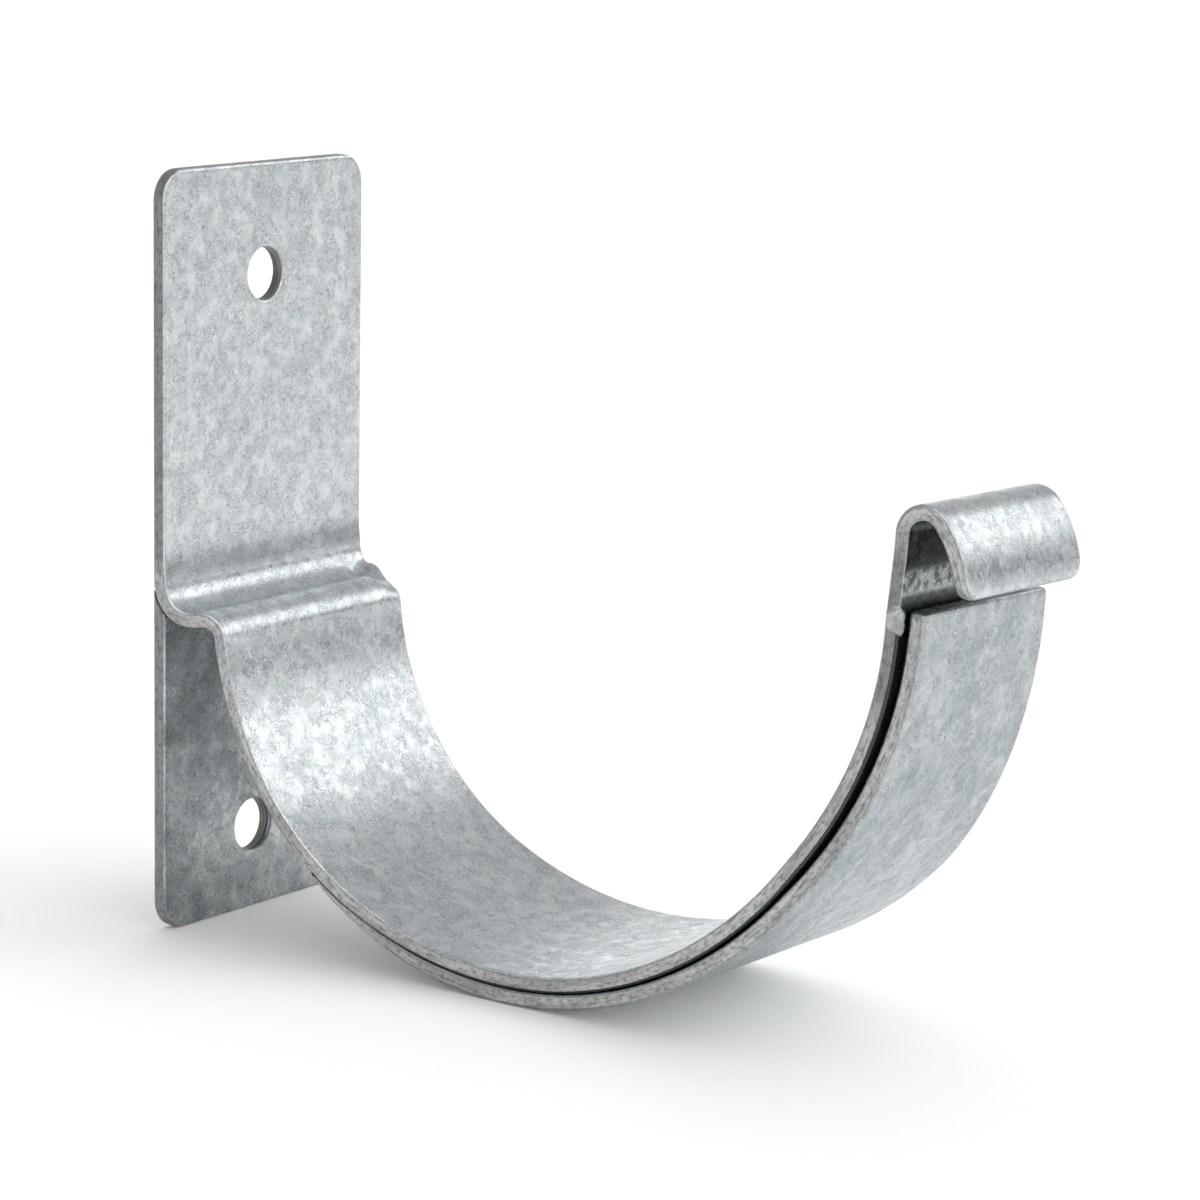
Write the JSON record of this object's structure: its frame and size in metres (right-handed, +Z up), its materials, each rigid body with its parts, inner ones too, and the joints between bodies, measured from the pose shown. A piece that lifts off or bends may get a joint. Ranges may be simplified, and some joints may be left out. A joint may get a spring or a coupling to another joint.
{
  "type": "gutter bracket",
  "caption": "Flat steel wall plate with screw holes and a bent strap that cradles a half-round gutter from below and ends in a curl over the gutter's front edge.",
  "frame": {"origin": "middle of the wall plate's back face, which lies against the wall", "axes": "+X away from the wall, +Y along the gutter, +Z up"},
  "size_m": [0.1188, 0.04, 0.1],
  "materials": {
    "galvanised_steel": "satin",
    "weld_metal": "satin"
  },
  "bodies": {
    "root": {"hook_strap": "galvanised_steel", "lower_plate": "galvanised_steel", "outer_strap": "galvanised_steel", "root_weld": "weld_metal", "toe_weld": "weld_metal", "front_tack_near": "weld_metal", "front_tack_far": "weld_metal"}
  },
  "joints": []
}
